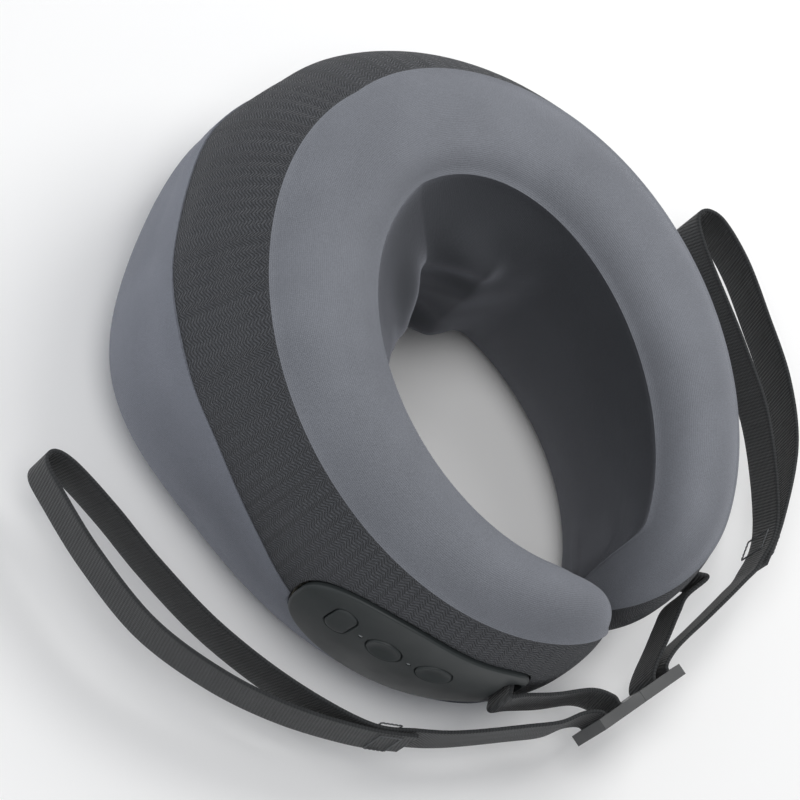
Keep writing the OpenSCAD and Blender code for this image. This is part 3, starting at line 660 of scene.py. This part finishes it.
def cover(name, zone, node, slot, rows=ROWS, ragged=False):
    """One sewn panel of the cover, from seam to seam."""
    f = np.linspace(-1, 1, rows)
    part = np.linspace(0, 1, ZONE_COLS[zone] + 1)
    u = station(f)
    a = np.abs(u)
    v = zone_v(zone, part[None, :], a[:, None])
    if ragged:
        v = v + ragged_edge(f, part)
    if zone == 2:
        v = v + TUCK_V * smooth((part - 0.9) / 0.1)[None, :]
    base = skin(u[:, None], v, SUNK)
    n = grid_normals(base)
    rise = swell_at(zone, f, part)
    run = lengths(base, 1)
    to_edge = np.minimum(run, run[:, -1:] - run)
    sewn = {0: to_edge, 1: to_edge, 2: run, 3: run[:, -1:] - run}[zone]
    rise = rise - SEAM_DEPTH * np.exp(-(sewn / SEAM_WIDTH) ** 2)
    if zone == 1:
        rise = rise + pushed_out(base)
    if zone == 2:
        rise = rise - TUCK_DEPTH * smooth((part - 0.9) / 0.06)[None, :]
    tip = 1 - smooth((np.abs(f) - 0.93) / 0.07)
    rise = np.where(rise > 0, rise * tip[:, None], rise * (0.35 + 0.65 * tip[:, None]))
    outer = base + n * rise[..., None]
    outer[..., 2] = np.maximum(outer[..., 2], 0.05 * MM)
    inner = skin(u[:, None] * (1 - 2 * FABRIC / ARM_ARC), v, SUNK + FABRIC)
    inner = inner + n * np.minimum(rise, INNER_RISE)[..., None]
    middle = outer.shape[1] // 2
    along = lengths(outer[:, middle:middle + 1], 0)
    uv = np.stack([np.broadcast_to(along, run.shape), lengths(outer, 1)], axis=-1) / MM
    made = shell(name, outer, inner, uv)
    finished(made, MATERIALS[slot], "root", [node])
    return made


def ragged_edge(f, part):
    """The band is knitted into the back in uneven teeth, each five rows long."""
    rng = np.random.default_rng(7)
    count = len(f) // 5 + 1
    high = np.repeat(rng.uniform(1.2, 2.6, count), 5)[:len(f)]
    slope = np.tile([0.0, 0.45, 1.0, 0.75, 0.3], count)[:len(f)]
    return (0.4 - high * slope)[:, None] * (1 - smooth(part / 0.09))[None, :]


cover("front_ring_cover", 0, "front_cover", "ring_knit")
cover("neck_liner", 1, "inner_liner", "liner_knit")
back = cover("back_cover_fabric", 2, "back_cover", "back_knit")
band = cover("side_band_fabric", 3, "side_band", "band_knit", rows=760, ragged=True)


# ---- the control panel ------------------------------------------------------------------------
PANEL_U, PANEL_V, PANEL_HU, PANEL_HV = 0.71, 0, 0.145, 26
BUTTON_U, BUTTON_V = (0.62, 0.677, 0.741), 5
LIGHT_U = (0.647, 0.709)
BUTTON_L, BUTTON_W = 22 * MM, 11 * MM     # the long power key
BUTTON_D = 16.5 * MM                      # the two round keys
SLOT_U, SLOT_V = {1: 0.835, -1: 0.87}, 1
PORT_U = -0.6
WEB_W, WEB_T = 28 * MM, 1.8 * MM
AROUND = 144              # points round the panel's outline
STADIUM = 64              # points round a key or a slot
CUT = 8 * MM              # how far the cutters reach in
SLOT_CUT = 9 * MM         # and the slots' ones
PLATE_BACK = 3 * MM       # depth of the panel's underside


def panel_uv(q, t, grow):
    """Stations and section angles of the panel's outline, scaled by q and grown sideways."""
    c, s = power(np.cos(t), 0.85), power(np.sin(t), 0.85)
    thin = 1 - 0.28 * smooth((c + 0.2) / 1.2)
    u = PANEL_U + q * (PANEL_HU + grow / ARM_ARC) * c
    v = PANEL_V + q * (s * thin * (PANEL_HV + grow / MM * 0.7) + 9 * smooth(c) * c)
    return u, v


def panel_solid(name, profile):
    """A solid in the panel's outline. The profile is (scale, sideways growth, depth) from the
    middle over the edge."""
    t = np.linspace(0, 2 * math.pi, AROUND, endpoint=False)
    rings = []
    for q, grow, depth in profile:
        u, v = panel_uv(q, t, grow)
        rings.append(skin(u, v, depth))
    points = np.concatenate([[rings[0].mean(axis=0)]] + rings + [[rings[-1].mean(axis=0)]])
    last = len(points) - 1
    faces = []
    for k in range(AROUND):
        j = (k + 1) % AROUND
        faces.append((0, 1 + k, 1 + j))
        faces.append((last, last - AROUND + j, last - AROUND + k))
        for i in range(len(rings) - 1):
            a = 1 + i * AROUND
            faces.append((a + k, a + AROUND + k, a + AROUND + j, a + j))
    uv = points[:, 1:] / MM
    return new_object(name, points, faces, uv, 40)


def skin_frame(u, v):
    """A 4x4 with Z out of the skin and X along the limb."""
    p = skin(u, v)
    x = skin(u + 0.004, v) - skin(u - 0.004, v)
    x = x / np.linalg.norm(x)
    n = np.cross(x, skin(u, v + 0.5) - skin(u, v - 0.5))
    n = n / np.linalg.norm(n)
    z = n * np.sign(n[:2] @ np.array(outward(u)))
    m = np.eye(4)
    m[:3, 0], m[:3, 1], m[:3, 2], m[:3, 3] = x, np.cross(z, x), z, p
    return m


def stadium_ring(length, width):
    """Points round a stadium whose long side lies along Y."""
    points = []
    for k in range(STADIUM):
        t = 2 * math.pi * (k + 0.5) / STADIUM
        shift = (length - width) / 2 * (1 if math.sin(t) > 0 else -1)
        points.append((width / 2 * math.cos(t), width / 2 * math.sin(t) + shift))
    return np.array(points)


def stadium_solid(name, place, rings):
    """A solid stacked from stadiums (length, width, height), from the middle of its top to the
    middle of its base."""
    local = []
    for length, width, height in rings:
        local.append(np.column_stack([stadium_ring(length, width), np.full(STADIUM, height)]))
    top, base = local[0].mean(axis=0), local[-1].mean(axis=0)
    points = np.concatenate([[top]] + local + [[base]])
    points = points @ place[:3, :3].T + place[:3, 3]
    last = len(points) - 1
    faces = []
    for k in range(STADIUM):
        j = (k + 1) % STADIUM
        faces.append((0, 1 + k, 1 + j))
        faces.append((last, last - STADIUM + j, last - STADIUM + k))
        for i in range(len(rings) - 1):
            a = 1 + i * STADIUM
            faces.append((a + k, a + STADIUM + k, a + STADIUM + j, a + j))
    return new_object(name, points, faces, None, 40)


def slot_cutter(side, wide):
    """An oval well where a strap leaves an arm."""
    length = WEB_W + 3 * MM
    rings = [(length + 2 * MM, wide + 2 * MM, 6 * MM),
             (length, wide, 0.6 * MM),
             (length - 1 * MM, wide - 1 * MM, -SLOT_CUT)]
    return stadium_solid("slot_cutter", skin_frame(side * SLOT_U[side], SLOT_V), rings)


def cut_covers():
    """Openings in the covers for the panel, the straps and the charge port."""
    gap = 0.9 * MM
    for obj in (band, back):
        carve(obj, panel_solid("panel_cutter", [(0.5, 0, -CUT), (1, gap, -CUT), (1, gap, CUT)]))
    carve(band, slot_cutter(-1, 7 * MM))
    port = skin_frame(PORT_U, 0)
    turn = np.eye(4)
    turn[:2, :2] = [[0, -1], [1, 0]]
    mouth = (12 * MM, 6 * MM)
    carve(band, stadium_solid("port_cutter", port @ turn, [(*mouth, 5 * MM), (*mouth, -CUT)]))


cut_covers()


KEY_SIZES = ((BUTTON_L, BUTTON_W), (BUTTON_D, BUTTON_D), (BUTTON_D, BUTTON_D))
FLANGE_TOP, FLANGE_BASE = -3.4 * MM, -4.6 * MM      # the rim that keeps a key in the panel


def make_panel():
    """The hard panel: a thin plate with a rolled edge, wells for the buttons, light dots and the
    strap's oval hole."""
    top, roll = -1.0 * MM, 1.6 * MM
    profile = [(q, -roll, top) for q in np.linspace(0.08, 1, 12)]
    for a in np.linspace(0.15, 1, 6) * math.pi / 2:
        profile.append((1, -roll * (1 - math.sin(a)), top + roll * (1 - math.cos(a))))
    profile += [(1, 0, PLATE_BACK), (0.5, 0, PLATE_BACK)]
    panel = panel_solid("control_panel_plate", profile)
    for u, (long, wide) in zip(BUTTON_U, KEY_SIZES):
        rings = [(long + grow * MM, wide + grow * MM, height * MM)
                 for grow, height in ((4, 4), (2.6, 1.2), (0.9, 0.2), (0.9, -8))]
        carve(panel, stadium_solid("button_well", skin_frame(u, BUTTON_V), rings))
    light = (2.4 * MM, 2.4 * MM)
    for u in LIGHT_U:
        rings = [(*light, 4 * MM), (*light, -CUT)]
        carve(panel, stadium_solid("light_well", skin_frame(u, BUTTON_V), rings))
    carve(panel, slot_cutter(1, 9 * MM))
    panel.data.polygons.foreach_set("use_smooth", [True] * len(panel.data.polygons))
    panel.data.set_sharp_from_angle(angle=math.radians(38))
    finished(panel, MATERIALS["panel_plastic"], "root", ["control_panel"])


def make_button(name, node, body, i, heights):
    """A rubber key: heights are (scale, height) from the middle of its face to its rim."""
    long, wide = KEY_SIZES[i]
    rings = []
    for q, height in heights:
        inset = (1 - q) * wide
        rings.append((long - inset, wide - inset, height))
    flange = (long + 2.4 * MM, wide + 2.4 * MM)
    rings += [(long, wide, FLANGE_TOP), (*flange, FLANGE_TOP), (*flange, FLANGE_BASE),
              (long / 2, wide / 2, FLANGE_BASE)]
    key = stadium_solid(name, skin_frame(BUTTON_U[i], BUTTON_V), rings)
    finished(key, MATERIALS["button_rubber"], body, [node])


FLAT_KEY = [(0.1, 1.35 * MM), (0.6, 1.32 * MM), (0.86, 1.2 * MM), (0.95, 0.95 * MM),
            (1, 0.5 * MM)]
DISHED_KEY = [(0.08, -0.25 * MM), (0.3, -0.1 * MM), (0.5, 0.22 * MM), (0.68, 0.68 * MM),
              (0.8, 1.05 * MM), (0.88, 1.25 * MM), (0.95, 1.2 * MM), (1, 0.7 * MM)]
make_panel()
make_button("power_key_cap", "power_button", "power_key", 0, FLAT_KEY)
make_button("mode_key_cap", "mode_button", "mode_key", 1, DISHED_KEY)
make_button("heat_key_cap", "heat_button", "heat_key", 2, DISHED_KEY)


# ---- straps -----------------------------------------------------------------------------------
def curve(points, per):
    """A smooth path through given points."""
    p = np.array(points, float)
    p = np.vstack([p[:1], p, p[-1:]])
    out = []
    for i in range(1, len(p) - 2):
        a, b, c, d = p[i - 1:i + 3]
        slope, bend, twist = c - a, 2 * a - 5 * b + 4 * c - d, 3 * b - a - 3 * c + d
        for t in np.arange(per) / per:
            out.append(0.5 * (2 * b + slope * t + bend * t ** 2 + twist * t ** 3))
    out.append(p[-2])
    return np.array(out)


def slot_point(side, out):
    """The middle of a strap's slot, moved outwards."""
    n = outward(side * SLOT_U[side])
    return skin(side * SLOT_U[side], SLOT_V) + out * np.array([n[0], n[1], 0])


# Routes in mm from the ring's middle: the arm straps in X, Y and Z, the loops level at WEB_Z.
WEB_Z = 47
LEFT_STRAP = [(-56.2, -120.3, 65), (-40.1, -127.8, 59), (-20.4, -135.4, 52),
              (-11.5, -143, 48), (-10.5, -147, 47), (-10.5, -151, 47)]
RIGHT_STRAP = [(41.4, -124.6, 63), (35.8, -128.7, 58), (27.5, -135.3, 52),
               (17.4, -141.9, 48), (12, -146.5, 47), (10.5, -151, 47)]
LEFT_LOOP = [(-19.5, -151), (-20.5, -146), (-28, -142), (-40, -139.5), (-54, -133),
             (-84, -118), (-102, -106), (-120, -91), (-139, -57), (-153, -18),
             (-160, 20), (-163, 51), (-167, 76), (-172, 86), (-178, 84), (-180, 70),
             (-181.5, 38), (-178, -1), (-164, -37), (-145, -67), (-121.7, -93),
             (-103.7, -108)]
RIGHT_LOOP = [(19.5, -151), (20.5, -146), (28, -142.5), (38, -140.5), (54, -138.5),
              (80, -134.5), (93, -131.5), (114, -119), (140, -79), (152, -44),
              (162, -5), (167, 11), (172, 19), (178, 18), (181.5, 9), (179.5, -12),
              (172, -38), (161.5, -69), (144, -97), (115.4, -121.2), (94.4, -133.7)]


def placed(route):
    """A route's points in metres in the shared frame."""
    whole = [p if len(p) == 3 else (*p, WEB_Z) for p in route]
    return [np.array(p) * MM + np.array([0, RING_Y, 0]) for p in whole]


def strap_route(side):
    """From inside an arm to the clasp."""
    rest = LEFT_STRAP if side > 0 else RIGHT_STRAP
    return [slot_point(side, d * MM) for d in (-15, -7, 0, 5)] + placed(rest)


def webbing(name, route, node, body, per):
    """Flat webbing on edge, with rolled selvedges."""
    path = curve(route, per)
    step = np.gradient(path, axis=0)
    flat = np.column_stack([-step[:, 1], step[:, 0]])
    flat = flat / np.linalg.norm(flat, axis=1, keepdims=True)
    side = np.column_stack([flat, np.zeros(len(path))])
    across = 14
    half_t, half_w = WEB_T / 2, WEB_W / 2 - WEB_T / 2
    rolled = (0.5, 1.05, 1.6, 2.1, 2.65)          # angles round a rolled selvedge
    section = [(-half_t, z) for z in np.linspace(-half_w, half_w, across)]
    section += [(-half_t * math.cos(a), half_w + half_t * math.sin(a)) for a in rolled]
    section += [(half_t, z) for z in np.linspace(half_w, -half_w, across)]
    section += [(half_t * math.cos(a), -half_w - half_t * math.sin(a)) for a in rolled]
    section = np.array(section)
    count = len(section)
    run = lengths(path[:, None], 0)[:, 0]
    up = np.array([0, 0, 1])
    points = path[:, None] + side[:, None] * section[None, :, :1] + up * section[None, :, 1:]
    uv = np.stack(np.broadcast_arrays(run[:, None], section[None, :, 1]), axis=-1) / MM
    index = np.arange(len(path) * count).reshape(len(path), count)
    a, b = index[:-1], index[1:]
    quads = np.stack([a, b, np.roll(b, -1, 1), np.roll(a, -1, 1)], axis=-1).reshape(-1, 4)
    faces = [tuple(q) for q in quads] + [tuple(index[0]), tuple(index[-1, ::-1])]
    made = new_object(name, points.reshape(-1, 3), faces, uv.reshape(-1, 2), 60)
    return finished(made, MATERIALS["webbing"], body, [node])


webbing("arm_strap_left", strap_route(1), "strap_left", "root", 8)
webbing("left_hand_loop", placed(LEFT_LOOP), "hand_loop_left", "root", 12)
webbing("right_hand_loop", placed(RIGHT_LOOP), "hand_loop_right", "clasp_half", 12)
strap_right = webbing("arm_strap_right", strap_route(-1), "strap_right", None, 8)
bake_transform(strap_right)


THREAD_R, THREAD_SIDES = 0.38 * MM, 8
STITCH, STITCH_RISE = 2.0 * MM, 0.25 * MM       # length of a stitch and how proud it stands
BOX_X, BOX_Z = 5 * MM, 11 * MM                  # half the sides of the stitched box
LAYERS = 2.9 * MM                               # from between the two layers to their outside


def thread_run(points):
    """Points and faces of one raised stitch."""
    radius, sides = THREAD_R, THREAD_SIDES
    path = np.array(points)
    turns = np.arange(sides) * 2 * math.pi / sides
    step = np.gradient(path, axis=0)
    step = step / np.linalg.norm(step, axis=1, keepdims=True)
    verts, faces = [], []
    for p, t in zip(path, step):
        across = np.cross(t, [0.3, 0.2, 1.0])
        across = across / np.linalg.norm(across)
        other = np.cross(t, across)
        verts += [p + radius * (across * math.cos(a) + other * math.sin(a)) for a in turns]
    for i in range(len(path) - 1):
        for k in range(sides):
            a, b = i * sides + k, i * sides + (k + 1) % sides
            faces.append((a, b, b + sides, a + sides))
    faces += [tuple(range(sides))[::-1], tuple(range((len(path) - 1) * sides, len(path) * sides))]
    return verts, faces


def stitching(name, centre, turn, node, body):
    """A box of lock stitches through a loop's end and the strap beside it, on both faces."""
    angle = math.radians(turn)
    along = np.array([math.cos(angle), math.sin(angle), 0])
    through = np.array([-math.sin(angle), math.cos(angle), 0])
    up = np.array([0, 0, 1.0])
    middle = placed([centre])[0]
    lines = []
    for x in (-BOX_X, BOX_X):
        for k in range(11):
            lines.append((x, -BOX_Z + k * STITCH, 0, STITCH))
    for z in (-BOX_Z, BOX_Z):
        for k in range(5):
            lines.append((-BOX_X + k * STITCH, z, STITCH, 0))
    verts, faces = [], []
    for face in (-1, 1):
        skin_at = face * LAYERS
        for x, z, dx, dz in lines:
            path = [middle + along * (x + dx * t) + up * (z + dz * t)
                    + through * (skin_at + face * STITCH_RISE * math.sin(math.pi * t))
                    for t in (0.06, 0.3, 0.5, 0.7, 0.94)]
            v, f = thread_run(path)
            faces += [tuple(i + len(verts) for i in quad) for quad in f]
            verts += v
    made = new_object(name, verts, faces, None, 60)
    return finished(made, MATERIALS["thread"], body, [node])


stitching("left_loop_stitching", (-112, -99.6), 140, "loop_stitch_left", "root")
stitching("right_loop_stitching", (104.4, -126.4), 31, "loop_stitch_right", "clasp_half")


# ---- hard parts kept from the CAD -------------------------------------------------------------
def rounded(node, width, segments):
    """Softens a CAD node's sharp edges without touching its mesh."""
    mod = nodes[node].modifiers.new("rounded", "BEVEL")
    mod.width = width
    mod.segments = segments
    mod.limit_method = "ANGLE"
    mod.angle_limit = math.radians(40)
    mod.harden_normals = True


def dress_nodes():
    """Every CAD node that is still shown gets its slot's material."""
    slots = {part["node"]: part["material_slot"] for part in frame["record"]["subparts"]}
    for name, obj in nodes.items():
        if obj.hide_render:
            continue
        obj.data.materials.clear()
        obj.data.materials.append(MATERIALS[slots[name]])


dress_nodes()
for clasp in ("clasp_left", "clasp_right"):
    rounded(clasp, 0.7 * MM, 3)


# ---- floor and light --------------------------------------------------------------------------
def make_floor():
    n = Nodes("floor")
    n.colour(n.mix(n.noise(3, 2), (0.955, 0.957, 0.96), (0.965, 0.967, 0.97)))
    n.set(Roughness=0.95)
    size = 8
    corners = [(-size, -size, 0), (size, -size, 0), (size, size, 0), (-size, size, 0)]
    floor = new_object("floor", corners, [(0, 1, 2, 3)])
    floor.data.materials.append(n.material)


def lamp(name, direction, distance, size, watts, colour):
    """A soft box that looks at the object from a direction in the picture: right, up and
    towards the camera."""
    light = bpy.data.lights.new(name, "AREA")
    light.shape = "DISK"
    light.size = size
    light.energy = watts
    light.color = colour
    obj = bpy.data.objects.new(name, light)
    bpy.context.scene.collection.objects.link(obj)
    right, up, back = direction
    towards = camera_right * right + camera_up * up + camera_back * back
    towards.normalize()
    obj.location = AIM + towards * distance
    obj.rotation_mode = "QUATERNION"
    obj.rotation_quaternion = towards.to_track_quat("Z", "Y")


def make_light():
    world = bpy.data.worlds.new("studio")
    bpy.context.scene.world = world
    world.use_nodes = True
    sky = world.node_tree.nodes["Background"]
    sky.inputs["Color"].default_value = (0.95, 0.97, 1.0, 1)
    sky.inputs["Strength"].default_value = 0.37
    lamp("key", (0.66, 0.56, 0.53), 0.9, 0.6, 3.8, (1.0, 0.99, 0.97))
    lamp("front", (0.10, 0.20, 0.97), 2.6, 1.5, 27, (1.0, 0.99, 0.98))
    lamp("fill", (-0.78, 0.45, 0.42), 1.7, 1.2, 4, (0.93, 0.96, 1.0))
    bpy.context.scene.view_settings.view_transform = "Standard"


make_floor()
make_light()
